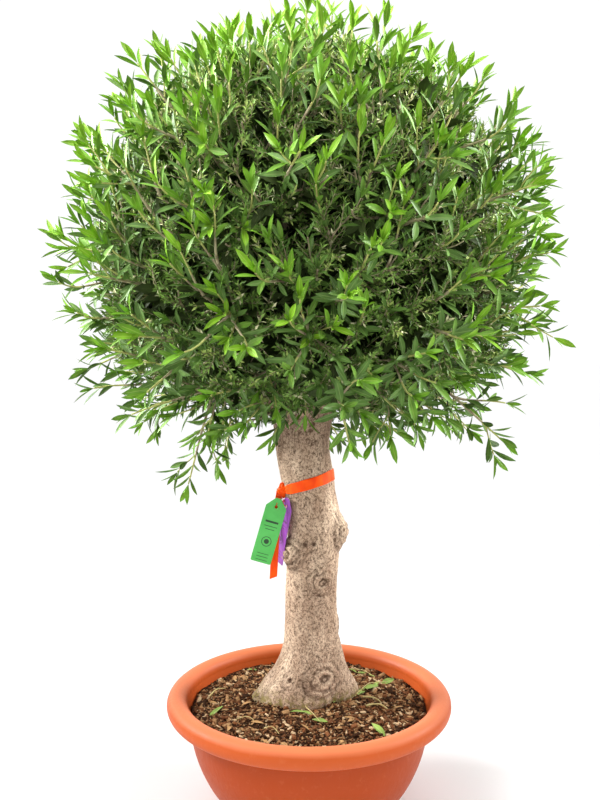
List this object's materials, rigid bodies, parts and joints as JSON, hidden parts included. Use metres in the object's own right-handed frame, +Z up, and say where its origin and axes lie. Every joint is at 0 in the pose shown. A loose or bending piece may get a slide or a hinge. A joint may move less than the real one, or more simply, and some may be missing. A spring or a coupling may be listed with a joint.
{
  "type": "potted olive tree",
  "caption": "Small standard olive tree with a dense round head of narrow leaves on a thick bare trunk, in a wide round bowl of compost, with a ribbon and hang tags on the trunk.",
  "frame": {"origin": "middle of the bowl's flat underside, on the surface that it stands on", "axes": "+Z up along the trunk, -Y the side that the front view shows, +X to the right from there"},
  "size_m": [1.0882, 1.0366, 1.6963],
  "materials": {
    "bowl": "satin",
    "soil": "matte",
    "bark": "matte",
    "leaf": "satin",
    "ribbon": "satin",
    "tag_green": "satin",
    "tag_purple": "satin"
  },
  "bodies": {
    "root": {"bough_lower_1": "bark", "bough_lower_2": "bark", "bough_lower_3": "bark", "bough_lower_4": "bark", "bough_lower_5": "bark", "bough_lower_6": "bark", "bough_top": "bark", "bough_upper_1": "bark", "bough_upper_2": "bark", "bough_upper_3": "bark", "bough_upper_4": "bark", "bough_upper_5": "bark", "bowl": "bowl", "foliage_lower_1": "leaf", "foliage_lower_2": "leaf", "foliage_lower_3": "leaf", "foliage_lower_4": "leaf", "foliage_lower_5": "leaf", "foliage_lower_6": "leaf", "foliage_top": "leaf", "foliage_upper_1": "leaf", "foliage_upper_2": "leaf", "foliage_upper_3": "leaf", "foliage_upper_4": "leaf", "foliage_upper_5": "leaf", "ribbon_band": "ribbon", "ribbon_knot": "ribbon", "soil": "soil", "tag_green": "tag_green", "tag_purple": "tag_purple", "trunk": "bark"}
  },
  "joints": []
}
